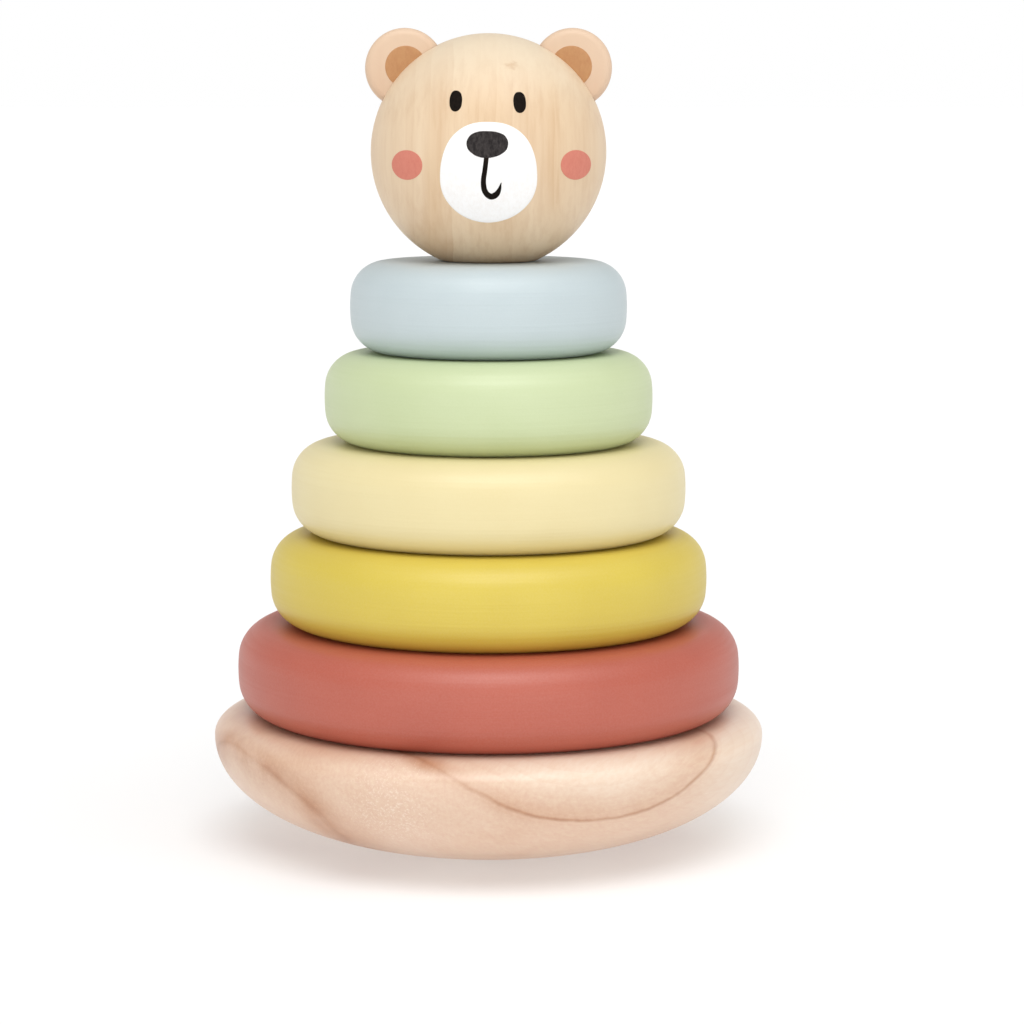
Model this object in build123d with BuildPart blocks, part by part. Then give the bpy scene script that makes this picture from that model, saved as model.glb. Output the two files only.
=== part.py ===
"""A wooden stacking toy: a rocking base with a peg, five rings and a bear's head.

Millimetres, +Z up. The origin is the middle of the small flat foot under the
rocking base, on the axis that the peg, the rings and the head share. The bear
looks towards -Y.

From the floor up, the toy is a half-round base whose underside rocks, a peg
that is glued into the base and drawn down by a screw, a wooden plug that hides
the screw's head, five rings that sit loosely on each other round the peg, and
a ball-shaped head that caps the peg. The two ears are glued into slots that a
disc cutter leaves in the head.
"""

from build123d import *
from math import asin, cos, degrees, radians, sin, sqrt
import os

os.makedirs("parts", exist_ok=True)

# ---------------------------------------------------------------- driving sizes

# Rocking base: flat on top, rounded over at the rim, bellied underneath.
base_radius = 65.0
base_height = 30.7
rim_drop = 5.0              # the widest line lies this far below the flat top
rim_round = 7.2             # the rim rounds over across this much of the top
foot_radius = 11.0          # small flat under the belly, on which the toy stands still
belly_fullness = 0.57       # 0 is a straight cone, and larger is a rounder belly

# Peg: a dowel, glued upright in a blind socket in the base.
peg_radius = 6.0
peg_socket_depth = 16.0
peg_reach_in_head = 21.0    # how far the peg stands above the top ring
peg_tip_round = 3.0

# Screw that draws the peg down into its socket from underneath.
screw_head_radius = 4.0
screw_shank_radius = 2.0
screw_core_radius = 1.4     # under the thread
screw_grip = 25.3           # length of thread and point inside the peg
screw_pitch = 1.8
screw_point_length = 3.0
cross_slot_span = 4.4       # from end to end of each arm of the driver's cross
cross_slot_width = 1.2
cross_slot_depth = 1.3      # shallow enough that the arms stay inside the head's cone

# Plug that closes the hole over the screw's head, flush with the foot.
plug_margin = 1.0           # the plug is wider than the screw's head by this, all round
plug_thickness = 5.0
plug_edge_break = 0.4

# Rings, from the base up: node name and outer radius.
rings = [
    ("red_ring", 59.3),
    ("mustard_ring", 51.5),
    ("cream_ring", 46.4),
    ("green_ring", 38.5),
    ("blue_ring", 32.4),
]
ring_thickness = 21.3
ring_edge_round = 8.0       # radius of the rounding above and below the flank
ring_flank_crown = 35.0     # radius of the barely bulging flank between them
ring_bore_round = 1.2       # eased edge where the peg goes in

# Head: a ball, cut flat where it sits on the top ring.
head_radius = 27.4
head_flat_land = 2.3        # width of the flat round the bore's eased mouth
head_bore_spare = 3.0       # room left above the peg's tip
head_bore_round = 1.0

# Ears: thick discs, let into the head's sides up to their middles.
ear_radius = 9.2
ear_thickness = 6.0
ear_edge_round = 1.8
ear_lean = 45.0             # degrees from straight up

# Fits, each measured on one side.
ring_play = 2.0             # between the peg and a ring's bore, loose enough to drop on
head_play = 1.5             # between the peg and the head's bore
glue_gap = 0.1              # round a glued dowel, plug or ear
shank_gap = 0.25            # round the screw's head and bare shank in the base

# ---------------------------------------------------------------- worked-out places

stack_top = base_height + len(rings) * ring_thickness
peg_foot = base_height - peg_socket_depth
peg_top = stack_top + peg_reach_in_head
plug_radius = screw_head_radius + plug_margin
screw_face = plug_thickness
screw_head_height = screw_head_radius - screw_shank_radius      # a 90 degree countersink
screw_tip = peg_foot + screw_grip
ring_bore_radius = peg_radius + ring_play
head_bore_radius = peg_radius + head_play
head_bore_depth = peg_reach_in_head + head_bore_spare
head_flat_radius = head_bore_radius + head_bore_round + head_flat_land
head_middle = stack_top + sqrt(head_radius**2 - head_flat_radius**2)


# ---------------------------------------------------------------- rocking base

with BuildPart() as rocker_base:
    with BuildSketch(Plane.XZ):
        with BuildLine():
            widest = (base_radius, base_height - rim_drop)
            Polyline((foot_radius, 0), (0, 0), (0, base_height), (base_radius - rim_round, base_height))
            EllipticalCenterArc(
                (base_radius - rim_round, base_height - rim_drop),
                rim_round,
                rim_drop,
                start_angle=0,
                arc_size=90,
            )
            Bezier(
                widest,
                (base_radius, widest[1] * (1 - belly_fullness)),
                (foot_radius + (base_radius - foot_radius) * belly_fullness, 0),
                (foot_radius, 0),
            )
        make_face()
    revolve(axis=Axis.Z)
    with Locations((0, 0, base_height)):
        Hole(peg_radius + glue_gap, depth=peg_socket_depth)
    # The stepped hole under the peg: the plug's pocket, the head's cone, the shank's hole.
    with BuildSketch(Plane.XZ):
        with BuildLine():
            shank_hole = screw_shank_radius + shank_gap
            head_cone = screw_head_radius + shank_gap
            Polyline(
                (0, 0),
                (plug_radius + glue_gap, 0),
                (plug_radius + glue_gap, plug_thickness),
                (head_cone, plug_thickness),
                (shank_hole, plug_thickness + head_cone - shank_hole),
                (shank_hole, peg_foot),
                (0, peg_foot),
                close=True,
            )
        make_face()
    revolve(axis=Axis.Z, mode=Mode.SUBTRACT)
rocker_base.part.label = "rocker_base"
export_step(rocker_base.part, "parts/rocker_base.step")


# ---------------------------------------------------------------- peg

with BuildPart() as peg:
    with BuildSketch(Plane.XY.offset(peg_foot)):
        Circle(peg_radius)
    extrude(amount=peg_top - peg_foot)
    fillet(peg.edges().group_by(Axis.Z)[-1], peg_tip_round)
    # Pilot hole for the screw's thread, drilled as deep as the thread goes.
    with BuildSketch(Plane.XY.offset(peg_foot)):
        Circle(screw_core_radius)
    extrude(amount=screw_tip - peg_foot, mode=Mode.SUBTRACT)
peg.part.label = "peg"
export_step(peg.part, "parts/peg.step")


# ---------------------------------------------------------------- screw

# The profile climbs from the countersunk head's face to the point. The thread starts where
# the peg does, and each of its turns is a ridge.
turns = int((screw_grip - screw_point_length) / screw_pitch)

with BuildPart() as peg_screw:
    with BuildSketch(Plane.XZ):
        with BuildLine():
            outline = [
                (0, screw_face),
                (screw_head_radius, screw_face),
                (screw_shank_radius, screw_face + screw_head_height),
                (screw_shank_radius, peg_foot),
            ]
            for turn in range(turns):
                ridge_foot = peg_foot + turn * screw_pitch
                outline.append((screw_core_radius, ridge_foot + 0.25 * screw_pitch))
                outline.append((screw_core_radius, ridge_foot + 0.60 * screw_pitch))
                outline.append((screw_shank_radius, ridge_foot + screw_pitch))
            outline.append((screw_core_radius, peg_foot + (turns + 0.25) * screw_pitch))
            outline.append((0, screw_tip))
            Polyline(*outline, close=True)
        make_face()
    revolve(axis=Axis.Z)
    with BuildSketch(Plane.XY.offset(screw_face)):
        Rectangle(cross_slot_span, cross_slot_width)
        Rectangle(cross_slot_width, cross_slot_span)
    extrude(amount=cross_slot_depth, mode=Mode.SUBTRACT)
peg_screw.part.label = "peg_screw"
export_step(peg_screw.part, "parts/peg_screw.step")


# ---------------------------------------------------------------- plug

with BuildPart() as screw_plug:
    with BuildSketch(Plane.XY):
        Circle(plug_radius)
    extrude(amount=plug_thickness)
    chamfer(screw_plug.edges().group_by(Axis.Z)[-1], plug_edge_break)
screw_plug.part.label = "screw_plug"
export_step(screw_plug.part, "parts/screw_plug.step")


# ---------------------------------------------------------------- rings

# Seen in section, a ring's outside is a shallow arc that bulges a little, with a
# tighter arc above and below it. All three run into each other smoothly.
half_thickness = ring_thickness / 2
crown_angle = degrees(asin((half_thickness - ring_edge_round) / (ring_flank_crown - ring_edge_round)))


def turned_ring(name, outer_radius, bottom):
    """One ring, standing on the height `bottom`, written to its own file."""
    with BuildPart() as ring:
        with BuildSketch(Plane.XZ):
            with BuildLine():
                flank_middle = (outer_radius, bottom + half_thickness)
                upper_crown = JernArc(flank_middle, (0, 1), ring_flank_crown, crown_angle)
                upper_edge = JernArc(upper_crown @ 1, upper_crown % 1, ring_edge_round, 90 - crown_angle)
                lower_crown = JernArc(flank_middle, (0, -1), ring_flank_crown, -crown_angle)
                lower_edge = JernArc(lower_crown @ 1, lower_crown % 1, ring_edge_round, crown_angle - 90)
                Polyline(
                    upper_edge @ 1,
                    (ring_bore_radius, bottom + ring_thickness),
                    (ring_bore_radius, bottom),
                    lower_edge @ 1,
                )
            make_face()
        revolve(axis=Axis.Z)
        bore_edges = ring.edges().filter_by(GeomType.CIRCLE).filter_by(
            lambda edge: abs(edge.radius - ring_bore_radius) < 0.01
        )
        fillet(bore_edges, ring_bore_round)
    ring.part.label = name
    export_step(ring.part, f"parts/{name}.step")
    return ring.part


for level, (ring_name, ring_radius) in enumerate(rings):
    turned_ring(ring_name, ring_radius, base_height + level * ring_thickness)


# ---------------------------------------------------------------- ears

def ear_plane(side):
    """The plane of an ear's back face, with its middle at the ear's middle: -1 is left, +1 right."""
    middle = (
        side * head_radius * sin(radians(ear_lean)),
        ear_thickness / 2,
        head_middle + head_radius * cos(radians(ear_lean)),
    )
    return Plane(origin=middle, x_dir=(1, 0, 0), z_dir=(0, -1, 0))


for ear_name, side in (("left_ear", -1), ("right_ear", 1)):
    with BuildPart() as ear:
        with BuildSketch(ear_plane(side)):
            Circle(ear_radius)
        extrude(amount=ear_thickness)
        fillet(ear.edges().filter_by(GeomType.CIRCLE), ear_edge_round)
    ear.part.label = ear_name
    export_step(ear.part, f"parts/{ear_name}.step")


# ---------------------------------------------------------------- head

with BuildPart() as bear_head:
    with Locations((0, 0, head_middle)):
        Sphere(head_radius)
    split(bisect_by=Plane.XY.offset(stack_top), keep=Keep.TOP)
    with BuildSketch(Plane.XY.offset(stack_top)):
        Circle(head_bore_radius)
    extrude(amount=head_bore_depth, mode=Mode.SUBTRACT)
    mouth_edge = bear_head.edges().filter_by(GeomType.CIRCLE).group_by(Axis.Z)[0].sort_by(SortBy.RADIUS)[0]
    fillet(mouth_edge, head_bore_round)
    # The slots for the ears: as wide as an ear with its glue, and as deep as its rim.
    for side in (-1, 1):
        with BuildSketch(ear_plane(side).offset(-glue_gap)):
            Circle(ear_radius)
        extrude(amount=ear_thickness + 2 * glue_gap, mode=Mode.SUBTRACT)
bear_head.part.label = "bear_head"
export_step(bear_head.part, "parts/bear_head.step")
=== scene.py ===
# %% [markdown]
# # A wooden stacking toy
# This lesson dresses a toy that a child takes apart: a rocking wooden base with a peg, five
# painted rings and a bear's head on top. A CAD model already fixes every size and every joint.
# Blender adds what the hand and the eye notice: the softness of turned wood, the growth lines,
# the satin paint and the face. We never move or resize what the CAD model says. We read its
# boxes and build each visible piece to fit them.

# %% Load the frame and measure it
import math
import bmesh
import bpy
from mathutils import Matrix, Vector


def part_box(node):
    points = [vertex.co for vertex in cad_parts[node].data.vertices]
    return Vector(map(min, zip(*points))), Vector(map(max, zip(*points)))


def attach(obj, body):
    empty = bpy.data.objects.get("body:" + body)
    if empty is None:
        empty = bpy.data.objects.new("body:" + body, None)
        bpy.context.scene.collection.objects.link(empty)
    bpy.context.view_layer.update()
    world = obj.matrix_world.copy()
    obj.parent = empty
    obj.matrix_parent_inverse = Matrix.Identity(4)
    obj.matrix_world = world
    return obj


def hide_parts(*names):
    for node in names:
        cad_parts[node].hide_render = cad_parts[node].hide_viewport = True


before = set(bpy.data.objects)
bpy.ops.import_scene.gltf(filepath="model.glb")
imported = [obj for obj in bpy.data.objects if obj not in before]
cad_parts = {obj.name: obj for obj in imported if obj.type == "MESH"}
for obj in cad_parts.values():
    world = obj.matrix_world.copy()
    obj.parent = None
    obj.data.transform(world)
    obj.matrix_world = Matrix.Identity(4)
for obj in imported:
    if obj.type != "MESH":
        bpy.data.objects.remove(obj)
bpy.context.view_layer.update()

MM = 0.001

# %% [markdown]
# ## Where the camera stands
# A small product is shot from a good distance with a long lens, so that the round rings keep
# their true proportions. Ours stands three quarters of a metre away, level with the bear's
# forehead, and looks slightly down, so the tops of the rings just show as thin ellipses. The lens
# is shifted a hair to the side, which slides the picture without turning the view.

# %% Camera
camera_data = bpy.data.cameras.new("product_camera")
camera_data.lens = 111.57
camera_data.sensor_width = 36.0
camera_data.shift_x = 0.0229
camera = bpy.data.objects.new("product_camera", camera_data)
AWAY, UP, LOOK_DOWN_DEG = 742.7 * MM, 179.0 * MM, 7.75
camera.location = (0.0, -AWAY, UP)
camera.rotation_euler = (math.radians(90 - LOOK_DOWN_DEG), 0.0, 0.0)
bpy.context.scene.collection.objects.link(camera)
bpy.context.scene.camera = camera
print("camera", tuple(round(v, 3) for v in camera.location))

# %% [markdown]
# ## A pale floor and soft light
# Soft light means a big source. Four things make it here. The room is a white world, brightest low
# down and round the horizon, like the walls of a small studio, and dimmer overhead. Above the toy
# hangs a long panel, made of three wide suns side by side, whose angles are so large that their
# shadows have no edge. Its reflection is the soft bright band along the top of each ring. Two
# weaker suns, almost level with the floor, reach under the chin and into the seams between the
# rings. The floor is a light table, a pale sheet that glows a little from below, so that the belly
# of the base isn't lost in its own shadow. The plain Standard view keeps the paint colours as they
# are mixed.

# %% Floor
floor_size = 40.0
floor_mesh = bpy.data.meshes.new("studio_floor")
half = floor_size / 2
floor_mesh.from_pydata(
    [(-half, -half, 0), (half, -half, 0), (half, half, 0), (-half, half, 0)], [], [(0, 1, 2, 3)]
)
floor = bpy.data.objects.new("studio_floor", floor_mesh)
bpy.context.scene.collection.objects.link(floor)
FLOOR_GAP = 0.2 * MM            # a hair of room, so that the floor and the foot don't share a surface
floor.location.z = -FLOOR_GAP
print("floor", floor_size, "m square")


# %% Overhead light
def wide_sun(name, strength, height_deg, side_deg, width_deg):
    """A sun that shines from a height above the floor, turned from straight in front to one side."""
    data = bpy.data.lights.new(name, "SUN")
    data.energy = strength
    data.angle = math.radians(width_deg)
    lamp = bpy.data.objects.new(name, data)
    lamp.rotation_euler = (math.radians(90 - height_deg), 0, math.radians(side_deg))
    lamp.location = (0, 0, 1.2)
    bpy.context.scene.collection.objects.link(lamp)
    print(name, "at", height_deg, "degrees")


wide_sun("overhead_middle", strength=1.28, height_deg=60, side_deg=0, width_deg=40)
wide_sun("overhead_right", strength=0.50, height_deg=60, side_deg=54, width_deg=44)
wide_sun("overhead_left", strength=0.24, height_deg=60, side_deg=-46, width_deg=44)
wide_sun("low_right", strength=0.36, height_deg=5, side_deg=24, width_deg=36)
wide_sun("low_left", strength=0.32, height_deg=5, side_deg=-24, width_deg=36)

# %% White room
world = bpy.data.worlds.new("white_room")
bpy.context.scene.world = world
world.use_nodes = True
room = world.node_tree
direction = room.nodes.new("ShaderNodeTexCoord")
height = room.nodes.new("ShaderNodeSeparateXYZ")
walls = room.nodes.new("ShaderNodeValToRGB")
room.links.new(direction.outputs["Generated"], height.inputs[0])
room.links.new(height.outputs["Z"], walls.inputs["Fac"])
room.links.new(walls.outputs["Color"], room.nodes["Background"].inputs["Color"])
walls.color_ramp.elements[0].position = 0.10
walls.color_ramp.elements[0].color = (1.0, 1.0, 1.0, 1.0)
walls.color_ramp.elements[1].position = 0.40
walls.color_ramp.elements[1].color = (0.45, 0.45, 0.45, 1.0)
bpy.context.scene.view_settings.view_transform = "Standard"
bpy.context.scene.view_settings.look = "None"


# %% [markdown]
# ## Small tools for mixing a finish
# A finish is a chain of nodes. Two helpers keep such chains readable: one adds a node and fills
# its sockets, from a number or from another node, and one does a sum. The others, for ramps, noise
# and layers of colour, build on them. All our patterns are worked out from the place of a point
# inside the wood, in millimetres, so they run through the solid as real grain does and don't need a
# flat texture map.

# %% Node helpers
def add(tree, kind, inputs=None, **settings):
    """A new node. Inputs are sockets by name or number, and settings are the node's own options."""
    node = tree.nodes.new(kind)
    for key, value in settings.items():
        setattr(node, key, value)
    for key, value in (inputs or {}).items():
        socket = node.inputs[key]
        if isinstance(value, bpy.types.NodeSocket):
            tree.links.new(value, socket)
        else:
            socket.default_value = value
    return node


def calc(tree, operation, *values, clamp=False):
    """One sum, such as calc(tree, "MULTIPLY", socket, 0.5)."""
    node = add(tree, "ShaderNodeMath", dict(enumerate(values)), operation=operation, use_clamp=clamp)
    return node.outputs[0]


def srgb(red, green, blue):
    """A colour as a paint chart gives it, 0 to 255, turned into the linear light that Blender mixes."""
    def linear(value):
        value /= 255
        return value / 12.92 if value <= 0.04045 else ((value + 0.055) / 1.055) ** 2.4
    return (linear(red), linear(green), linear(blue), 1.0)


def new_finish(name, roughness=0.5):
    """A material with its shader, and the point in the wood in millimetres."""
    material = bpy.data.materials.new(name)
    material.use_nodes = True
    tree = material.node_tree
    shader = tree.nodes["Principled BSDF"]
    shader.inputs["Roughness"].default_value = roughness
    place = add(tree, "ShaderNodeTexCoord").outputs["Object"]
    point = add(tree, "ShaderNodeVectorMath", {0: place, "Scale": 1 / MM}, operation="SCALE").outputs[0]
    return material, tree, shader, point


def ramp(tree, factor, stops):
    """A colour ramp from a list of (position, colour)."""
    node = add(tree, "ShaderNodeValToRGB", {"Fac": factor})
    elements = node.color_ramp.elements
    while len(elements) < len(stops):
        elements.new(0.5)
    for element, (position, colour) in zip(elements, stops):
        element.position = position
        element.color = colour
    return node.outputs["Color"]


def noise(tree, point, scale, detail=2.0, roughness=0.5):
    """Soft noise from 0 to 1. The scale is how many lumps fit in one millimetre."""
    sockets = {"Vector": point, "Scale": scale, "Detail": detail, "Roughness": roughness}
    return add(tree, "ShaderNodeTexNoise", sockets).outputs["Fac"]


def stretched(tree, point, along_x, along_y, along_z):
    """The point with each axis scaled by its own amount, for streaks and flecks."""
    factors = (along_x, along_y, along_z)
    return add(tree, "ShaderNodeVectorMath", {0: point, 1: factors}, operation="MULTIPLY").outputs[0]


def blend_colour(tree, factor, below, above, kind="MIX"):
    """One colour over another."""
    node = add(tree, "ShaderNodeMix", data_type="RGBA", blend_type=kind)
    for index, value in ((0, factor), (6, below), (7, above)):
        if isinstance(value, bpy.types.NodeSocket):
            tree.links.new(value, node.inputs[index])
        else:
            node.inputs[index].default_value = value
    return node.outputs[2]


def layer(tree, colour, above, *strengths):
    """A colour laid over another one, as strongly as all the strengths multiplied together."""
    factor = strengths[0]
    for strength in strengths[1:]:
        factor = calc(tree, "MULTIPLY", factor, strength)
    return blend_colour(tree, factor, colour, above)


def grey(value):
    """A plain grey, for ramps that steer something other than a colour."""
    return (value, value, value, 1.0)


BLACK, WHITE = grey(0.0), grey(1.0)


def emboss(tree, shader, height, depth_mm):
    """Bump from a height socket, whose full range stands for a depth in millimetres."""
    bump = add(tree, "ShaderNodeBump", {"Height": height, "Distance": depth_mm * MM, "Strength": 1.0})
    tree.links.new(bump.outputs["Normal"], shader.inputs["Normal"])


# %% Light table finish
floor_finish, tree, shader, point = new_finish("light_table_sheet", roughness=0.9)
sheet = noise(tree, point, 0.002, detail=1.0)
sheet_colour = ramp(tree, sheet, [(0.3, grey(0.61)), (0.7, grey(0.62))])
tree.links.new(sheet_colour, shader.inputs["Base Color"])
shader.inputs["Emission Color"].default_value = WHITE
shader.inputs["Emission Strength"].default_value = 0.37
floor_mesh.materials.append(floor_finish)


# %% [markdown]
# ## Turning on the lathe
# Almost everything here was made on a lathe, so we make it the same way: draw half of the section
# and spin it. Blender has a Screw modifier for that, but a short loop of our own puts a clean pole
# where the outline touches the axis and closes a ring's section on itself. The curves of a section
# are drawn with arcs, because that is what a turner's templates are.

# %% Lathe helpers
def arc(centre, radius, from_deg, to_deg, steps):
    """Points on an arc in the section, angles from straight outwards towards straight up."""
    across, up = radius if isinstance(radius, tuple) else (radius, radius)
    points = []
    for step in range(steps + 1):
        angle = math.radians(from_deg + (to_deg - from_deg) * step / steps)
        points.append((centre[0] + across * math.cos(angle), centre[1] + up * math.sin(angle)))
    return points


def tidy(outline):
    """The outline with points that fall on each other taken out."""
    kept = [outline[0]]
    for point in outline[1:]:
        if math.dist(point, kept[-1]) > 1e-7:
            kept.append(point)
    return kept


def bridge(mesh, near, far):
    """Faces between two closed rows of corners, one of which may be a single point."""
    count = max(len(near), len(far))
    for k in range(count):
        n = (k + 1) % count
        corners = [near[k % len(near)], near[n % len(near)], far[n % len(far)], far[k % len(far)]]
        mesh.faces.new([v for i, v in enumerate(corners) if v not in corners[:i]])


def turn(name, outline, closed=False, segments=192):
    """Spins an outline of (radius, height) points about the vertical axis, into a mesh object."""
    outline = tidy(outline)
    mesh = bmesh.new()
    rows = []
    for radius, height in outline:
        if radius < 1e-7:
            rows.append([mesh.verts.new((0, 0, height))])
        else:
            angles = [2 * math.pi * k / segments for k in range(segments)]
            places = [(radius * math.cos(a), radius * math.sin(a), height) for a in angles]
            rows.append([mesh.verts.new(place) for place in places])
    pairs = list(zip(rows, rows[1:]))
    if closed:
        pairs.append((rows[-1], rows[0]))
    for lower, upper in pairs:
        bridge(mesh, lower, upper)
    bmesh.ops.recalc_face_normals(mesh, faces=mesh.faces)
    return finish_mesh(name, mesh)


def finish_mesh(name, mesh, sharp_deg=40):
    """A bmesh as an object in the scene, smooth except across real corners."""
    data = bpy.data.meshes.new(name)
    mesh.to_mesh(data)
    mesh.free()
    data.shade_smooth()
    data.set_sharp_from_angle(angle=math.radians(sharp_deg))
    made = bpy.data.objects.new(name, data)
    bpy.context.scene.collection.objects.link(made)
    return made


def fit_out(piece, finish, body, node):
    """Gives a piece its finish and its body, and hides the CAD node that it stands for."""
    piece.data.materials.append(finish)
    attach(piece, body)
    if node:
        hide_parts(node)
    size = [round(d / MM, 1) for d in piece.dimensions]
    print(piece.name, "is", size, "mm,", len(piece.data.polygons), "faces")


def half_width(node):
    """Half of a CAD node's width, its lowest and its highest point, in metres."""
    low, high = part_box(node)
    return (high[0] - low[0]) / 2, low[2], high[2]


# %% [markdown]
# ## The wood of the base
# The base is turned from a thick pinkish board, so the knife cuts through only a few growth rings
# and they come out as long wavy lines on the belly, like the contour lines of a hill. We use the
# distance from the heart of the tree, an axis that lies just above the board and runs from back to
# front, flattened because trees aren't round. That distance is bent by soft noise and cut into
# years. In each year the wood slowly darkens and then stops at a fine dark line. The vessels run
# along the same axis. Where the knife cuts across them they are dots, and where it runs along them
# they are scratches. One stretched noise, turned to lie along the heart, gives both. The wood inside
# the last whole year is a little creamier, and at the front left the knife has torn the grain, which
# left a patch of pale specks.

# %% Growth rings
HEART, HEART_FLATNESS = (19.4, 46.9), 0.461
HEART_LEAN = (0.436, 0.095)     # how far the heart moves left and down for each step to the back
HEART_START = -50.0             # the heart's place is given for this distance along Y


def years(tree, distance, year_mm, first_mm, sharpness):
    """0 to 1 through each year's growth, slow at first and then steep up to the dark line."""
    counted = calc(tree, "DIVIDE", calc(tree, "SUBTRACT", distance, first_mm), year_mm)
    return calc(tree, "POWER", calc(tree, "FRACT", counted), sharpness)


def wandering(tree, point, scale, drift_mm):
    """The point, pushed about by soft noise by up to half of the drift each way."""
    drift = add(tree, "ShaderNodeTexNoise", {"Vector": point, "Scale": scale, "Detail": 2.0})
    around_half = {0: drift.outputs["Color"], 1: (0.5,) * 3}
    centred = add(tree, "ShaderNodeVectorMath", around_half, operation="SUBTRACT")
    moved = {0: centred.outputs[0], 1: (drift_mm,) * 3, 2: point}
    return add(tree, "ShaderNodeVectorMath", moved, operation="MULTIPLY_ADD").outputs[0]


def heart_distance(tree, point, heart, flatness, lean):
    """Millimetres from the tree's heart, for a heart that runs roughly from back to front."""
    axes = add(tree, "ShaderNodeSeparateXYZ", {0: point}).outputs
    back = calc(tree, "ADD", axes["Y"], -HEART_START)
    across = calc(tree, "SUBTRACT", calc(tree, "MULTIPLY_ADD", back, lean[0], axes["X"]), heart[0])
    upward = calc(tree, "SUBTRACT", calc(tree, "MULTIPLY_ADD", back, lean[1], axes["Z"]), heart[1])
    squared = calc(tree, "MULTIPLY", calc(tree, "MULTIPLY", across, across), flatness)
    return calc(tree, "SQRT", calc(tree, "MULTIPLY_ADD", upward, upward, squared))


def fade(tree, value, nothing_at, full_at):
    """0 to 1 as a value goes smoothly from one place to another."""
    span = {"Value": value, "From Min": nothing_at, "From Max": full_at}
    return add(tree, "ShaderNodeMapRange", span, interpolation_type="SMOOTHSTEP").outputs[0]


# %% Base wood
YEAR_MM, FIRST_YEAR_MM = 18.6, 12.1
TORN_GRAIN = (-21.0, -57.0, 20.0)


def late_wood(tree, distance, width_mm):
    """1 on the line where a year ends, fading out softly on both sides of it."""
    counted = calc(tree, "DIVIDE", calc(tree, "SUBTRACT", distance, FIRST_YEAR_MM), YEAR_MM)
    return fade(tree, calc(tree, "PINGPONG", counted, 0.5), width_mm / YEAR_MM, 0.0)


def base_wood():
    """Pinkish board with wide years, fine vessels and a thin semi-gloss lacquer."""
    finish, tree, shader, point = new_finish("pink_lacquered_board", roughness=0.36)
    bent = wandering(tree, wandering(tree, point, 0.03, 4.0), 0.16, 1.0)
    distance = heart_distance(tree, bent, HEART, HEART_FLATNESS, HEART_LEAN)
    shade = years(tree, distance, YEAR_MM, FIRST_YEAR_MM, sharpness=3.4)
    faint = years(tree, distance, YEAR_MM / 6, 1.0, sharpness=3.0)
    sideways = add(tree, "ShaderNodeSeparateXYZ", {0: point}).outputs["X"]
    left_half = fade(tree, sideways, 16.0, -14.0)
    thin_line = late_wood(tree, distance, 0.75)
    wide_line = late_wood(tree, distance, 3.4)

    # The board itself: pink, cream inside the last whole year, and paler out at the right rim, a painted
    # highlight where the right-hand light falls.
    patches = noise(tree, point, 0.04, detail=3.0)
    pinks = [(0.30, srgb(221, 194, 175)), (0.55, srgb(218, 189, 168)), (0.72, srgb(211, 178, 156))]
    colour = ramp(tree, patches, pinks)
    last_year = FIRST_YEAR_MM + YEAR_MM
    inside = fade(tree, distance, last_year, last_year - 0.55 * YEAR_MM)
    # Cream inside the last year is the wood's own tone. The paler right rim is a painted highlight.
    cream = calc(tree, "MAXIMUM", inside, fade(tree, sideways, 40.0, 60.0))
    colour = layer(tree, colour, srgb(230, 212, 194), cream, 0.75)

    # Its growth lines: a slow browning, faint lines inside it, a wide smear on the left, where the
    # knife ran almost along the year, and a thin dark line that is worn away in places.
    strong = ramp(tree, noise(tree, point, 0.042, detail=3.0), [(0.40, grey(0.3)), (0.58, WHITE)])
    colour = layer(tree, colour, srgb(192, 149, 118), shade, 0.42, strong)
    colour = layer(tree, colour, srgb(205, 166, 141), faint, 0.26, patches)
    colour = layer(tree, colour, srgb(174, 128, 96), wide_line, left_half, 0.80, strong)
    worn = ramp(tree, noise(tree, point, 0.09), [(0.35, grey(0.45)), (0.62, WHITE)])
    line_strength = calc(tree, "MULTIPLY_ADD", left_half, -0.15, 0.58)
    colour = layer(tree, colour, srgb(156, 106, 70), thin_line, worn, line_strength)

    # Fibres and vessels, which run along the heart of the tree.
    turned = {"Vector": point, "Angle": math.atan(HEART_LEAN[0])}
    along = add(tree, "ShaderNodeVectorRotate", turned, rotation_type="Z_AXIS").outputs[0]
    fibres = noise(tree, stretched(tree, along, 1.1, 0.05, 1.1), 1.0, detail=4.0, roughness=0.65)
    fibre_colour = ramp(tree, fibres, [(0.3, srgb(190, 148, 120)), (0.7, srgb(252, 236, 220))])
    colour = blend_colour(tree, 0.16, colour, fibre_colour, "OVERLAY")
    vessels = noise(tree, stretched(tree, along, 3.2, 0.22, 3.2), 1.0, roughness=0.6)
    pores = ramp(tree, vessels, [(0.63, BLACK), (0.72, WHITE)])

    # A patch of slightly torn grain at the front left, full of pale specks.
    to_patch = {0: point, 1: TORN_GRAIN}
    torn = add(tree, "ShaderNodeVectorMath", to_patch, operation="DISTANCE").outputs["Value"]
    where = calc(tree, "MULTIPLY_ADD", fade(tree, torn, 17.0, 5.0), 0.8, 0.2)
    colour = layer(tree, colour, srgb(250, 238, 226), pores, 0.5, where)
    specks = ramp(tree, noise(tree, point, 2.0, detail=1.0), [(0.56, BLACK), (0.66, WHITE)])
    colour = layer(tree, colour, srgb(250, 240, 230), specks, 0.32, fade(tree, torn, 15.0, 2.0))

    tree.links.new(colour, shader.inputs["Base Color"])
    tree.links.new(calc(tree, "MULTIPLY_ADD", fibres, 0.18, 0.24), shader.inputs["Roughness"])
    emboss(tree, shader, calc(tree, "MULTIPLY_ADD", pores, -0.5, fibres), 0.03)
    return finish


# %% [markdown]
# ## The rocking base
# The base is flat on top, rounded over at the rim, and its belly sweeps down to a small flat foot,
# so that the toy stands still but rocks when it is pushed. The belly is one smooth Bezier curve
# that leaves the rim straight down and meets the foot level. The middle is drilled: a socket for
# the peg from above, and from below a stepped hole for the screw and its plug.

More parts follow.
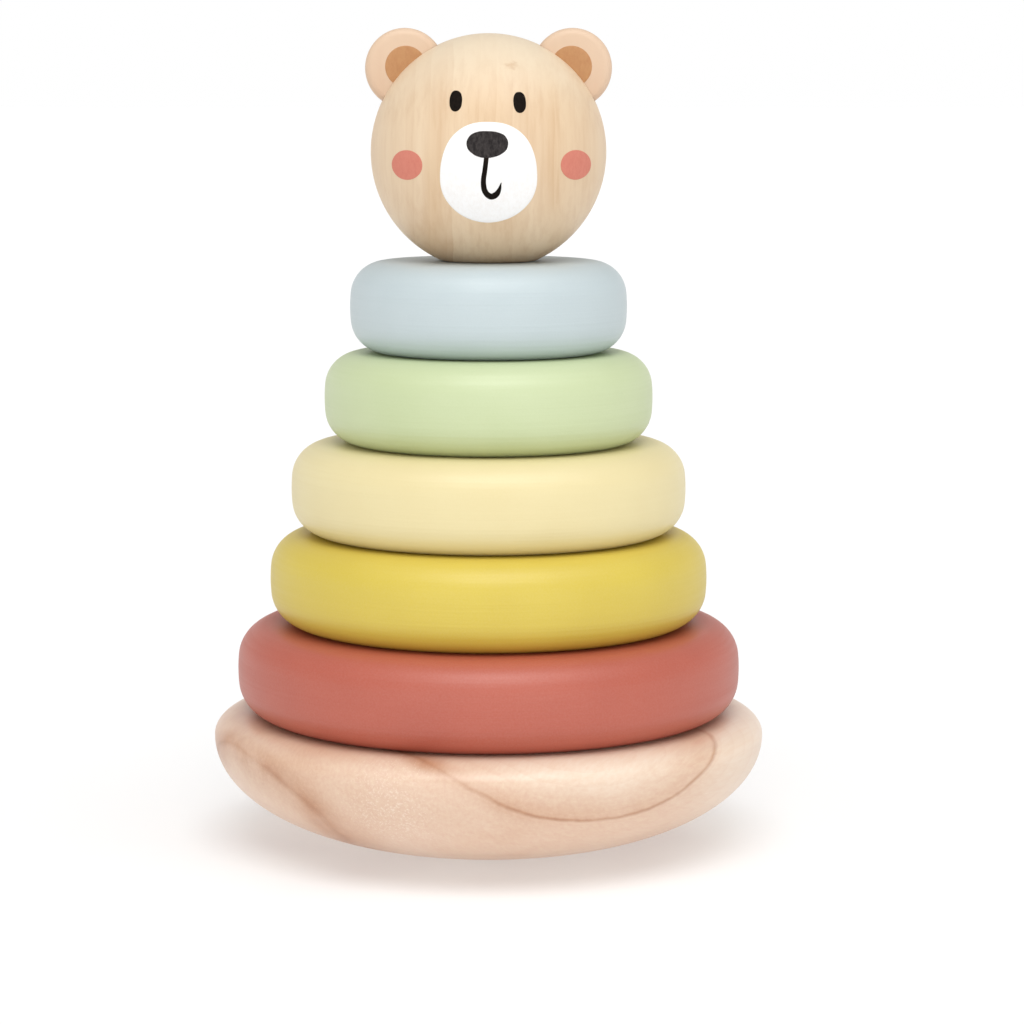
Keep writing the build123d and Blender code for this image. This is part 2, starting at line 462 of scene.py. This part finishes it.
# %% Turn the base
base_radius, floor_level, base_top = half_width("rocker_base")
peg_radius, peg_foot, peg_top = half_width("peg")
plug_radius, _, plug_top = half_width("screw_plug")
screw_radius, screw_face, screw_tip = half_width("peg_screw")

GLUE_GAP, SHANK_GAP = 0.1 * MM, 0.25 * MM
SHANK_RADIUS, CORE_RADIUS = 2.0 * MM, 1.4 * MM
RIM_DROP, RIM_ROUND = 5.0 * MM, 7.2 * MM
FOOT_RADIUS, BELLY_FULLNESS = 11.0 * MM, 0.57
SOCKET_CHAMFER = 0.4 * MM


def belly(steps=44):
    """The belly's curve, from the widest line down to the edge of the foot."""
    widest = base_top - RIM_DROP
    run = (base_radius - FOOT_RADIUS) * BELLY_FULLNESS
    corners = [
        (base_radius, widest),
        (base_radius, widest * (1 - BELLY_FULLNESS)),
        (FOOT_RADIUS + run, floor_level),
        (FOOT_RADIUS, floor_level),
    ]
    points = []
    for step in range(steps + 1):
        t = step / steps
        weights = ((1 - t) ** 3, 3 * t * (1 - t) ** 2, 3 * t * t * (1 - t), t ** 3)
        points.append(tuple(sum(w * c[axis] for w, c in zip(weights, corners)) for axis in (0, 1)))
    return points


socket = peg_radius + GLUE_GAP
pocket = plug_radius + GLUE_GAP
shank_hole = SHANK_RADIUS + SHANK_GAP
cone_mouth = screw_radius + SHANK_GAP
rim = arc((base_radius - RIM_ROUND, base_top - RIM_DROP), (RIM_ROUND, RIM_DROP), 90, 0, 14)
base_section = (
    [(socket, peg_foot), (socket, base_top - SOCKET_CHAMFER), (socket + SOCKET_CHAMFER, base_top)]
    + rim
    + belly()
    + [(pocket, floor_level), (pocket, plug_top), (cone_mouth, plug_top)]
    + [(shank_hole, plug_top + cone_mouth - shank_hole), (shank_hole, peg_foot)]
)
turned_base = turn("turned_base", base_section, closed=True, segments=256)
fit_out(turned_base, base_wood(), "base", "rocker_base")


# %% [markdown]
# ## The peg, its screw and the plug
# At rest the peg and the screw hide inside the toy, and the plug shows only from below. The peg is
# plain dowel with a rounded tip, so that a ring finds it easily. Its grain runs straight up. The
# screw pulls the peg down into its socket, and the plug covers the screw's head. The screw is worth a
# real thread: its radius goes in and out along a helix, which a grid of points can follow if each
# point's radius depends on its height minus its share of a turn.

# %% Dowel wood
def dowel_wood():
    """Bare straight-grained dowel, with the short dark dashes that beech has."""
    finish, tree, shader, point = new_finish("bare_beech_dowel", roughness=0.62)
    streaks = noise(tree, stretched(tree, point, 1.3, 1.3, 0.03), 1.0, detail=4.0, roughness=0.6)
    tans = [(0.32, srgb(203, 164, 122)), (0.5, srgb(226, 192, 152)), (0.7, srgb(238, 209, 173))]
    colour = ramp(tree, streaks, tans)
    dashes = noise(tree, stretched(tree, point, 3.0, 3.0, 0.35), 1.0)
    rays = ramp(tree, dashes, [(0.62, BLACK), (0.70, WHITE)])
    colour = layer(tree, colour, srgb(170, 124, 84), rays, 0.35)
    tree.links.new(colour, shader.inputs["Base Color"])
    tree.links.new(calc(tree, "MULTIPLY_ADD", streaks, 0.2, 0.5), shader.inputs["Roughness"])
    emboss(tree, shader, streaks, 0.04)
    return finish


# %% Peg and plug
dowel_finish = dowel_wood()
TIP_ROUND = 3.0 * MM
tip = arc((peg_radius - TIP_ROUND, peg_top - TIP_ROUND), TIP_ROUND, 0, 90, 10)
peg_section = (
    [(0, screw_tip), (CORE_RADIUS, screw_tip), (CORE_RADIUS, peg_foot), (peg_radius, peg_foot)]
    + tip
    + [(0, peg_top)]
)
dowel_peg = turn("dowel_peg", peg_section, segments=96)
fit_out(dowel_peg, dowel_finish, "base", "peg")

PLUG_BREAK = 0.4 * MM
plug_section = [(0, floor_level), (plug_radius, floor_level), (plug_radius, plug_top - PLUG_BREAK)]
plug_section += [(plug_radius - PLUG_BREAK, plug_top), (0, plug_top)]
wooden_plug = turn("wooden_plug", plug_section, segments=96)
fit_out(wooden_plug, dowel_finish, "base", "screw_plug")


# %% Screw
def zinc_plate():
    """Steel with a thin, slightly cloudy coat of zinc."""
    finish, tree, shader, point = new_finish("zinc_plated_steel", roughness=0.32)
    shader.inputs["Metallic"].default_value = 1.0
    cloudy = noise(tree, point, 0.9, detail=3.0)
    colour = ramp(tree, cloudy, [(0.3, srgb(196, 196, 188)), (0.7, srgb(224, 222, 210))])
    tree.links.new(colour, shader.inputs["Base Color"])
    tree.links.new(calc(tree, "MULTIPLY_ADD", cloudy, 0.25, 0.2), shader.inputs["Roughness"])
    emboss(tree, shader, noise(tree, point, 4.0), 0.01)
    return finish


def wood_screw(name, segments=48, rows_per_turn=12):
    """A countersunk screw that points up, with a real helical thread and a driver's cross."""
    pitch, point_length = 1.8 * MM, 3.0 * MM
    levels = [screw_face, screw_face + screw_radius - SHANK_RADIUS]
    rows = int((screw_tip - peg_foot) / pitch * rows_per_turn)
    levels += [peg_foot + (screw_tip - peg_foot) * row / rows for row in range(rows)]
    mesh = bmesh.new()
    rings = []
    for index, level in enumerate(levels):
        ring = []
        for k in range(segments):
            share = k / segments
            if index < 2:
                radius = screw_radius if index == 0 else SHANK_RADIUS
            else:
                climb = ((level - peg_foot) / pitch - share) % 1.0
                ridge = max(0.0, 1 - abs(climb - 0.5) / 0.34) ** 0.8
                run_in = min(1.0, (level - peg_foot) / (0.6 * pitch))
                taper = min(1.0, (screw_tip - level) / point_length)
                thread = (SHANK_RADIUS - CORE_RADIUS) * (ridge * run_in + (1 - run_in))
                radius = (CORE_RADIUS + thread) * taper
            angle = 2 * math.pi * share
            ring.append(mesh.verts.new((radius * math.cos(angle), radius * math.sin(angle), level)))
        rings.append(ring)
    for lower, upper in zip(rings, rings[1:]):
        bridge(mesh, lower, upper)
    for ring, height in ((rings[0], screw_face), (rings[-1], screw_tip)):
        bridge(mesh, ring, [mesh.verts.new((0, 0, height))])
    bmesh.ops.recalc_face_normals(mesh, faces=mesh.faces)
    return finish_mesh(name, mesh, sharp_deg=35)


def carve(piece, cutters):
    """Cuts other meshes out of a piece for good, then throws the cutters away."""
    for cutter in cutters:
        change = piece.modifiers.new("carve", "BOOLEAN")
        change.operation = "DIFFERENCE"
        change.solver = "EXACT"
        change.object = cutter
    bpy.context.view_layer.update()
    shaped = bpy.data.meshes.new_from_object(piece.evaluated_get(bpy.context.evaluated_depsgraph_get()))
    piece.modifiers.clear()
    piece.data = shaped
    for cutter in cutters:
        bpy.data.objects.remove(cutter)
    shaped.shade_smooth()
    shaped.set_sharp_from_angle(angle=math.radians(35))


def cross_cutter(arm=2.2 * MM, half=0.6 * MM, depth=1.3 * MM):
    """A plus-shaped bar that stands in the screw's face."""
    quarter = [(half, half), (half, arm), (-half, arm)]
    corners = []
    for _ in range(4):
        corners += quarter
        quarter = [(-y, x) for x, y in quarter]
    mesh = bmesh.new()
    lower, upper = (
        [mesh.verts.new((x, y, screw_face + side * depth)) for x, y in corners] for side in (-1, 1)
    )
    mesh.faces.new(lower)
    mesh.faces.new(upper)
    bridge(mesh, lower, upper)
    bmesh.ops.recalc_face_normals(mesh, faces=mesh.faces)
    return finish_mesh("cross_cutter", mesh)


zinc_screw = wood_screw("zinc_screw")
carve(zinc_screw, [cross_cutter()])
fit_out(zinc_screw, zinc_plate(), "base", "peg_screw")


# %% [markdown]
# ## Satin paint for the rings
# Water-based toy paint is sprayed on in thin coats, so it is smooth and half matt, but never
# perfectly even. Up close there are three things in it: slow patches where a coat is thicker, the
# fine pebbling of the spray, and the ghost of the turning lines under it. Down the bore the spray
# thins out, and bare wood comes through. One recipe makes all five colours.

# %% Ring paint
def satin_paint(name, coat, thin_coat, bore):
    """A sprayed colour, its thinner shade, and the bore's radius, inside which the wood shows."""
    finish, tree, shader, point = new_finish(name, roughness=0.44)
    shader.inputs["Specular IOR Level"].default_value = 0.62
    patches = noise(tree, point, 0.03, detail=3.0)
    colour = ramp(tree, patches, [(0.3, thin_coat), (0.62, coat)])
    lines = noise(tree, stretched(tree, point, 0.012, 0.012, 1.5), 1.0, detail=3.0, roughness=0.6)
    colour = layer(tree, colour, thin_coat, lines, 0.45)
    pebbles = noise(tree, point, 2.4)
    colour = layer(tree, colour, WHITE, pebbles, 0.05)

    # Bare wood in the bore, with a ragged edge where the spray thinned out.
    axes = add(tree, "ShaderNodeSeparateXYZ", {0: point}).outputs
    squared = calc(tree, "MULTIPLY_ADD", axes["X"], axes["X"], calc(tree, "MULTIPLY", axes["Y"], axes["Y"]))
    ragged = calc(tree, "MULTIPLY_ADD", noise(tree, point, 0.6), 1.6, calc(tree, "SQRT", squared))
    span = {"From Min": bore / MM + 0.5, "From Max": bore / MM + 1.5, "To Min": 0.8, "To Max": 0.0}
    inside = add(tree, "ShaderNodeMapRange", {"Value": ragged, **span}).outputs[0]
    grain = noise(tree, stretched(tree, point, 1.0, 1.0, 0.06), 1.0, detail=3.0)
    wood = ramp(tree, grain, [(0.35, srgb(206, 170, 130)), (0.65, srgb(228, 198, 160))])
    tree.links.new(layer(tree, colour, wood, inside), shader.inputs["Base Color"])
    tree.links.new(calc(tree, "MULTIPLY_ADD", lines, 0.16, 0.36), shader.inputs["Roughness"])
    emboss(tree, shader, calc(tree, "MULTIPLY_ADD", pebbles, 0.3, lines), 0.05)
    return finish


# %% [markdown]
# ## The five rings
# Each ring has the same section with another radius: a flank that bulges very slightly, and a
# generous rounding above and below it. That soft edge is what the light draws, so the arcs get
# plenty of points. The hole is two millimetres wider all round than the peg, so a child can drop
# the ring on.

# %% Turn and paint the rings
EDGE_ROUND, FLANK_CROWN, BORE_ROUND = 8.0 * MM, 35.0 * MM, 1.2 * MM
RING_PLAY = 2.0 * MM
ring_bore = peg_radius + RING_PLAY


def ring_section(radius, bottom, top):
    """The closed outline of a ring, from the bore's lower edge out, up and back in."""
    half_height = (top - bottom) / 2
    middle = (top + bottom) / 2
    crown_deg = math.degrees(math.asin((half_height - EDGE_ROUND) / (FLANK_CROWN - EDGE_ROUND)))
    pull_in = (FLANK_CROWN - EDGE_ROUND) * (1 - math.cos(math.radians(crown_deg)))
    edge_x = radius - EDGE_ROUND - pull_in
    flat_x = (edge_x + ring_bore + BORE_ROUND) / 2
    lower = arc((edge_x, bottom + EDGE_ROUND), EDGE_ROUND, -90, -crown_deg, 14)
    flank = arc((radius - FLANK_CROWN, middle), FLANK_CROWN, -crown_deg, crown_deg, 6)
    upper = arc((edge_x, top - EDGE_ROUND), EDGE_ROUND, crown_deg, 90, 14)
    bore_top = arc((ring_bore + BORE_ROUND, top - BORE_ROUND), BORE_ROUND, 90, 180, 5)
    bore_bottom = arc((ring_bore + BORE_ROUND, bottom + BORE_ROUND), BORE_ROUND, 180, 270, 5)
    return bore_bottom + [(flat_x, bottom)] + lower + flank + upper + [(flat_x, top)] + bore_top


ring_paints = {
    "red": (srgb(180, 84, 61), srgb(172, 77, 55)),
    "mustard": (srgb(209, 186, 62), srgb(202, 178, 54)),
    "cream": (srgb(226, 212, 162), srgb(221, 205, 152)),
    "green": (srgb(195, 207, 163), srgb(188, 201, 153)),
    "blue": (srgb(190, 202, 205), srgb(182, 195, 198)),
}
for colour_name, (coat, thin_coat) in ring_paints.items():
    radius, bottom, top = half_width(colour_name + "_ring")
    section = ring_section(radius, bottom, top)
    painted_ring = turn("painted_ring_" + colour_name, section, closed=True, segments=256)
    paint = satin_paint(colour_name + "_satin_paint", coat, thin_coat, ring_bore)
    fit_out(painted_ring, paint, colour_name, colour_name + "_ring")


# %% [markdown]
# ## The head's wood
# The head is a ball of pale, straight-grained wood, with its grain running from the neck to the
# crown. Seen from the front, the years are upright bands, a little paler or darker, with fine
# streaks in them. The heart of this tree lies far off to one side, so its years pass through the
# ball as nearly flat walls that we see edge on. Towards the crown the sander cuts across the
# fibres, so the bands fade. There the colour is also painted paler, a painted highlight of the
# light from above. One small pin knot sits high on the forehead.
# The ears are cut from pinker wood with fainter lines, by the same recipe, so their tops get the same
# painted highlight.

# %% Head and ear wood
def upright_wood(name, painted_highlight_colour, pale, middle, deep, heart_x, year_mm, first_mm, figure, crown, knot=None):
    """Wood whose heart lies far off to one side. Figure is how strong its lines are, and towards
    the crown, a height in metres, they fade, and the colour turns paler there: a painted highlight."""
    finish, tree, shader, point = new_finish(name, roughness=0.44)
    shader.inputs["Specular IOR Level"].default_value = 0.4
    bent = wandering(tree, stretched(tree, point, 1.0, 1.0, 0.3), 0.045, 2.4)
    axes = add(tree, "ShaderNodeSeparateXYZ", {0: bent}).outputs
    height = add(tree, "ShaderNodeSeparateXYZ", {0: point}).outputs["Z"]
    # Towards the crown the lines calm down, and the colour is painted paler, a painted highlight.
    calm = fade(tree, height, crown / MM - 2.0, crown / MM - 19.0)
    painted_crown_highlight = calc(tree, "MULTIPLY", calc(tree, "SUBTRACT", 1.0, calm), 0.8)
    calm = calc(tree, "MULTIPLY_ADD", calm, 0.75, 0.25)
    distance = calc(tree, "SUBTRACT", axes["X"], heart_x)
    band = years(tree, distance, year_mm, first_mm, 1.3)
    edge = years(tree, distance, year_mm, first_mm, 12.0)
    fine = years(tree, distance, year_mm / 6.3, 0.0, 2.0)
    patches = noise(tree, stretched(tree, point, 0.09, 0.03, 0.015), 1.0, detail=2.0)
    colour = ramp(tree, patches, [(0.34, middle), (0.6, pale)])
    # The paler colour near the crown is a painted highlight.
    colour = layer(tree, colour, painted_highlight_colour, painted_crown_highlight)
    gaps = noise(tree, stretched(tree, point, 0.12, 0.05, 0.02), 1.0)
    broken = ramp(tree, gaps, [(0.4, BLACK), (0.62, WHITE)])
    for lines, strength in ((band, 0.24), (edge, 0.26), (fine, 0.20)):
        colour = layer(tree, colour, deep, lines, strength * figure, broken, calm)
    streaks = noise(tree, stretched(tree, point, 0.8, 0.3, 0.012), 1.0, detail=4.0, roughness=0.6)
    thread = ramp(tree, streaks, [(0.34, WHITE), (0.56, BLACK)])
    colour = layer(tree, colour, deep, thread, 0.20 * figure, calm)
    flecks = noise(tree, stretched(tree, point, 3.4, 3.4, 0.25), 1.0)
    dashes = ramp(tree, flecks, [(0.64, BLACK), (0.72, WHITE)])
    colour = layer(tree, colour, deep, dashes, 0.08 * figure)
    if knot:
        ragged = wandering(tree, stretched(tree, point, 0.7, 1.0, 1.0), 0.8, 3.0)
        away = add(tree, "ShaderNodeVectorMath", {0: ragged, 1: knot}, operation="DISTANCE").outputs["Value"]
        colour = layer(tree, colour, deep, fade(tree, away, 1.7, 0.2), 0.4)
    tree.links.new(colour, shader.inputs["Base Color"])
    tree.links.new(calc(tree, "MULTIPLY_ADD", streaks, 0.2, 0.36), shader.inputs["Roughness"])
    emboss(tree, shader, calc(tree, "MULTIPLY_ADD", dashes, -0.4, streaks), 0.03)
    return finish


head_radius, head_bottom, head_top = half_width("bear_head")
ear_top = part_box("left_ear")[1][2]
head_middle = head_top - head_radius
KNOT = (3.8, -18.0, head_middle / MM + 20.0)
head_finish = upright_wood(
    "pale_head_wood",
    # The first colour is the painted highlight towards the crown.
    srgb(230, 214, 188), srgb(224, 200, 169), srgb(219, 191, 156), srgb(191, 148, 106),
    heart_x=-400.0, year_mm=23.0, first_mm=1.0, figure=1.0, crown=head_top, knot=KNOT,
)
ear_finish = upright_wood(
    "pinkish_ear_wood",
    # The first colour is the painted highlight towards the top of the ear.
    srgb(219, 191, 164), srgb(216, 187, 160), srgb(213, 182, 153), srgb(202, 160, 129),
    heart_x=-300.0, year_mm=17.0, first_mm=4.0, figure=0.5, crown=ear_top,
)


# %% [markdown]
# ## The bear's head
# The head is a ball with a flat on which it sits, a blind hole for the peg, and two slots for the
# ears. The ball and the hole come off the lathe in one outline. The slots are cut afterwards, as
# in the workshop, with a disc cutter: a Boolean of a disc as big as the ear's rim.

# %% Turn the head
HEAD_PLAY, TIP_ROOM = 1.5 * MM, 3.0 * MM
bore_radius = peg_radius + HEAD_PLAY
bore_end = peg_top + TIP_ROOM
MOUTH_ROUND, FLAT_EASE = 1.0 * MM, 0.5 * MM
flat_radius = math.sqrt(head_radius**2 - (head_middle - head_bottom) ** 2)
flat_deg = -math.degrees(math.acos(flat_radius / head_radius))
mouth = arc((bore_radius + MOUTH_ROUND, head_bottom + MOUTH_ROUND), MOUTH_ROUND, 180, 270, 5)
ball = arc((0, head_middle), head_radius, flat_deg + 0.8, 90, 84)
head_section = [(0, bore_end), (bore_radius, bore_end)] + mouth
head_section += [(flat_radius - FLAT_EASE, head_bottom), (flat_radius - 0.1 * MM, head_bottom + 0.12 * MM)]
head_section += ball[:-1] + [(0, head_top)]
turned_head = turn("turned_head", head_section, segments=192)


# %% Ears and their slots
def stand_up(piece, centre):
    """Turns a lathe-made disc so that it faces the front, and sets its middle on a point."""
    piece.data.transform(Matrix.Translation(centre) @ Matrix.Rotation(math.radians(90), 4, "X"))


def disc_section(radius, thickness, edge):
    """Half the section of a disc with rounded edges, from its back to its front."""
    half_thick = thickness / 2
    lower = arc((radius - edge, edge - half_thick), edge, -90, 0, 8)
    upper = arc((radius - edge, half_thick - edge), edge, 0, 90, 8)
    return [(0, -half_thick)] + lower + upper + [(0, half_thick)]


EAR_EDGE = 1.8 * MM
ears = {}
slot_cutters = []
for side in ("left", "right"):
    low, high = (Vector(corner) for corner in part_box(side + "_ear"))
    centre = (low + high) / 2
    radius, thickness = (high.x - low.x) / 2, high.y - low.y
    ears[side] = centre, radius, thickness
    ear = turn("disc_ear_" + side, disc_section(radius, thickness, EAR_EDGE), segments=96)
    stand_up(ear, centre)
    fit_out(ear, ear_finish, "head", side + "_ear")
    slot_section = disc_section(radius, thickness + 2 * GLUE_GAP, 0.02 * MM)
    cutter = turn("slot_cutter_" + side, slot_section, segments=96)
    stand_up(cutter, centre)
    slot_cutters.append(cutter)
carve(turned_head, slot_cutters)
fit_out(turned_head, head_finish, "head", "bear_head")


# %% [markdown]
# ## A painted face
# The face is printed: a soft pad picks paint off a flat plate and presses it on to the ball from
# straight in front. So every shape is drawn flat, in millimetres from the ball's middle, and then
# pushed straight back on to the ball. Each is a real film of paint, about a tenth of a millimetre
# thick for each coat, with an eased edge, rather than a mask in the wood's material. The outlines
# then stay crisp from any distance, and each paint can have its own gloss.

# %% Film helpers
FILM = 0.09 * MM


def squircle(
    centre, across, up, down=None, power=2.0, power_down=None, tilt_deg=0.0, points=96, wobble=0.0
):
    """A closed outline of (x, z) points: an ellipse that grows squarer as the power goes above 2."""
    outline = []
    lean = math.radians(tilt_deg)
    for k in range(points):
        angle = 2 * math.pi * k / points
        c, s = math.cos(angle), math.sin(angle)
        reach = up if s >= 0 or down is None else down
        bend = 2 / (power if s >= 0 or power_down is None else power_down)
        x = across * math.copysign(abs(c) ** bend, c)
        z = reach * math.copysign(abs(s) ** bend, s)
        waves = math.sin(3 * angle + 1.1) + 0.7 * math.sin(5 * angle + 4.0) + 0.5 * math.sin(11 * angle)
        x, z = x * (1 + wobble * waves), z * (1 + wobble * waves)
        x, z = x * math.cos(lean) - z * math.sin(lean), x * math.sin(lean) + z * math.cos(lean)
        outline.append((centre[0] + x, centre[1] + z))
    return outline


def on_ball(x, z, lift):
    """A flat point, pressed straight back on to the ball, and lifted off it."""
    depth = math.sqrt(max((head_radius + lift) ** 2 - (x * MM) ** 2 - (z * MM) ** 2, 0.0))
    return Vector((x * MM, -depth, head_middle + z * MM))


def film_from_rows(name, rows, lifts):
    """A thin solid from closed rows of points: a lifted front, and a back just under the surface."""
    mesh = bmesh.new()
    fronts = [[mesh.verts.new(on_ball(x, z, lift)) for x, z in row] for row, lift in zip(rows, lifts)]
    backs = [[mesh.verts.new(on_ball(x, z, -FILM)) for x, z in row] for row in rows]
    for sheet in (fronts, backs):
        for near, far in zip(sheet, sheet[1:]):
            bridge(mesh, near, far)
    bridge(mesh, fronts[-1], backs[-1])
    bmesh.ops.recalc_face_normals(mesh, faces=mesh.faces)
    return finish_mesh(name, mesh, sharp_deg=60)


def print_patch(name, outline, paint, coats=1.0):
    """A patch of paint: rows of shrinking outlines from its middle out, thin at the very edge."""
    middle = [sum(p[axis] for p in outline) / len(outline) for axis in (0, 1)]
    shares = [k / 12 for k in range(1, 12)] + [0.96, 0.985, 1.0]
    rows = [[tuple(middle)]]
    for share in shares:
        rows.append([tuple(m + share * (p - m) for m, p in zip(middle, point)) for point in outline])
    full = coats * FILM
    lifts = [full] * (len(rows) - 2) + [full * 0.8, full * 0.25]
    fit_out(film_from_rows(name, rows, lifts), paint, "head", None)


# %% [markdown]
# ### Paints for the face
# All of them are matt, and the black shines least, so that the eyes and the nose stay dark under
# the bright room. On the nose it is a little dry, as if dabbed on, so a soft grey grain comes
# through.

# %% Face paints
def face_paint(name, coat, worn, roughness, shine=0.5, grain=0.3):
    """Matt paint with a brushed grain, from its full colour to where it is rubbed thin."""
    finish, tree, shader, point = new_finish(name, roughness=roughness)
    shader.inputs["Specular IOR Level"].default_value = shine
    brushed = noise(tree, stretched(tree, point, 1.4, 1.4, 0.7), 1.0, detail=5.0, roughness=0.7)
    tree.links.new(ramp(tree, brushed, [(0.40, coat), (0.40 + grain, worn)]), shader.inputs["Base Color"])
    tree.links.new(calc(tree, "MULTIPLY_ADD", brushed, 0.2, roughness - 0.1), shader.inputs["Roughness"])
    emboss(tree, shader, brushed, 0.03)
    return finish


white_paint = face_paint("matt_white_paint", srgb(244, 243, 242), srgb(239, 236, 233), 0.6)
eye_paint = face_paint("soft_black_eye_paint", srgb(16, 11, 8), srgb(32, 24, 19), 0.6, shine=0.06)
nose_paint = face_paint("dabbed_charcoal_paint", srgb(34, 30, 30), srgb(66, 61, 60), 0.6, shine=0.15)
blush_paint = face_paint("blush_pink_paint", srgb(209, 128, 110), srgb(204, 121, 103), 0.6, shine=0.3)
brown_paint = face_paint("inner_ear_brown_paint", srgb(189, 140, 95), srgb(182, 130, 88), 0.6, shine=0.3)

# %% Muzzle, nose, eyes and cheeks
print_patch(
    "painted_muzzle",
    squircle((0.0, -5.5), 10.95, 12.85, down=9.8, power=2.35, power_down=2.0, wobble=0.002, points=144),
    white_paint,
)
print_patch(
    "painted_nose",
    squircle((-0.29, 2.4), 4.7, 2.95, down=3.1, power=2.35, power_down=2.0, wobble=0.008),
    nose_paint,
    coats=2.2,
)
for side, x, z, tilt in (("left", -7.37, 11.97, -4.0), ("right", 6.99, 11.66, 5.0)):
    print_patch(
        "painted_eye_" + side,
        squircle((x, z), 1.42, 2.34, power=2.3, tilt_deg=tilt, wobble=0.006),
        eye_paint,
    )
for side, x in (("left", -18.5), ("right", 19.85)):
    print_patch(
        "painted_cheek_" + side,
        squircle((x, -2.45), 3.55, 3.36, wobble=0.003),
        blush_paint,
    )

# %% [markdown]
# ### The mouth
# The mouth is one brush stroke that drops from the nose, hooks to one side and lifts off in a
# point. A stroke isn't a patch around a middle, so it is built from cross rows along a smooth line
# through a few chosen points, each with the width of the brush there.

# %% Mouth stroke
stroke = [
    (-0.43, -0.1, 1.15),
    (-0.85, -3.6, 1.2),
    (-1.14, -5.6, 1.25),
    (-1.02, -7.5, 1.35),
    (-0.42, -8.75, 1.4),
    (0.6, -9.35, 1.5),
    (1.7, -8.9, 1.45),
    (2.4, -7.8, 0.95),
    (2.85, -6.2, 0.12),
]


def eased(p, q, r, s, t):
    """The value a share t of the way from q to r, on a smooth curve that comes from p and goes to s."""
    squared, cubed = 2 * p - 5 * q + 4 * r - s, 3 * q - p - 3 * r + s
    return 0.5 * (2 * q + (r - p) * t + squared * t * t + cubed * t**3)


def smooth_line(points, steps=8):
    """A Catmull-Rom curve through the points, which carries their widths along."""
    ends = [points[0]] + points + [points[-1]]
    line = []
    for group in zip(ends, ends[1:], ends[2:], ends[3:]):
        for step in range(steps):
            line.append(tuple(eased(*values, step / steps) for values in zip(*group)))
    return line + [points[-1]]


def brush_stroke(name, points, paint, coats):
    """A film that follows a line, with a rounded cross-section and closed ends."""
    line = smooth_line(points)
    across = [-0.5, -0.4, -0.2, 0.0, 0.2, 0.4, 0.5]
    heights = [0.25, 0.8, 1.0, 1.0, 1.0, 0.8, 0.25]
    mesh = bmesh.new()
    fronts, backs = [], []
    for index, (x, z, width) in enumerate(line):
        before, after = line[max(index - 1, 0)], line[min(index + 1, len(line) - 1)]
        along = Vector((after[0] - before[0], after[1] - before[1])).normalized()
        side_x, side_z = -along.y, along.x
        row = [(x + side_x * share * width, z + side_z * share * width) for share in across]
        raised = [on_ball(px, pz, coats * FILM * h) for (px, pz), h in zip(row, heights)]
        fronts.append([mesh.verts.new(place) for place in raised])
        backs.append([mesh.verts.new(on_ball(px, pz, -FILM)) for px, pz in row])
    last = len(across) - 1
    for sheet in (fronts, backs):
        for near, far in zip(sheet, sheet[1:]):
            for k in range(last):
                mesh.faces.new((near[k], near[k + 1], far[k + 1], far[k]))
    for index in range(len(line) - 1):
        for k in (0, last):
            mesh.faces.new((fronts[index][k], fronts[index + 1][k], backs[index + 1][k], backs[index][k]))
    for index in (0, -1):
        for k in range(last):
            mesh.faces.new((fronts[index][k], fronts[index][k + 1], backs[index][k + 1], backs[index][k]))
    bmesh.ops.recalc_face_normals(mesh, faces=mesh.faces)
    fit_out(finish_mesh(name, mesh, sharp_deg=60), paint, "head", None)


brush_stroke("painted_mouth", stroke, eye_paint, coats=2.2)

# %% [markdown]
# ### Inside the ears
# A brown disc is printed on the flat front of each ear, set slightly up and in from its middle.
# Half of it is hidden where the ear dives into the ball.

# %% Inner ears
INNER_EAR = 4.75 * MM
ear_film = FILM * 1.2
for side, (centre, radius, thickness) in ears.items():
    inwards = 0.25 * MM if side == "left" else -0.25 * MM
    front = centre + Vector((inwards, -thickness / 2, 0.35 * MM))
    section = [(0, -ear_film), (INNER_EAR, -ear_film), (INNER_EAR, ear_film * 0.2)]
    section += [(INNER_EAR - 0.12 * MM, ear_film * 0.8), (INNER_EAR - 0.4 * MM, ear_film), (0, ear_film)]
    inner = turn("painted_inner_ear_" + side, section, segments=96)
    stand_up(inner, front)
    fit_out(inner, brown_paint, "head", None)
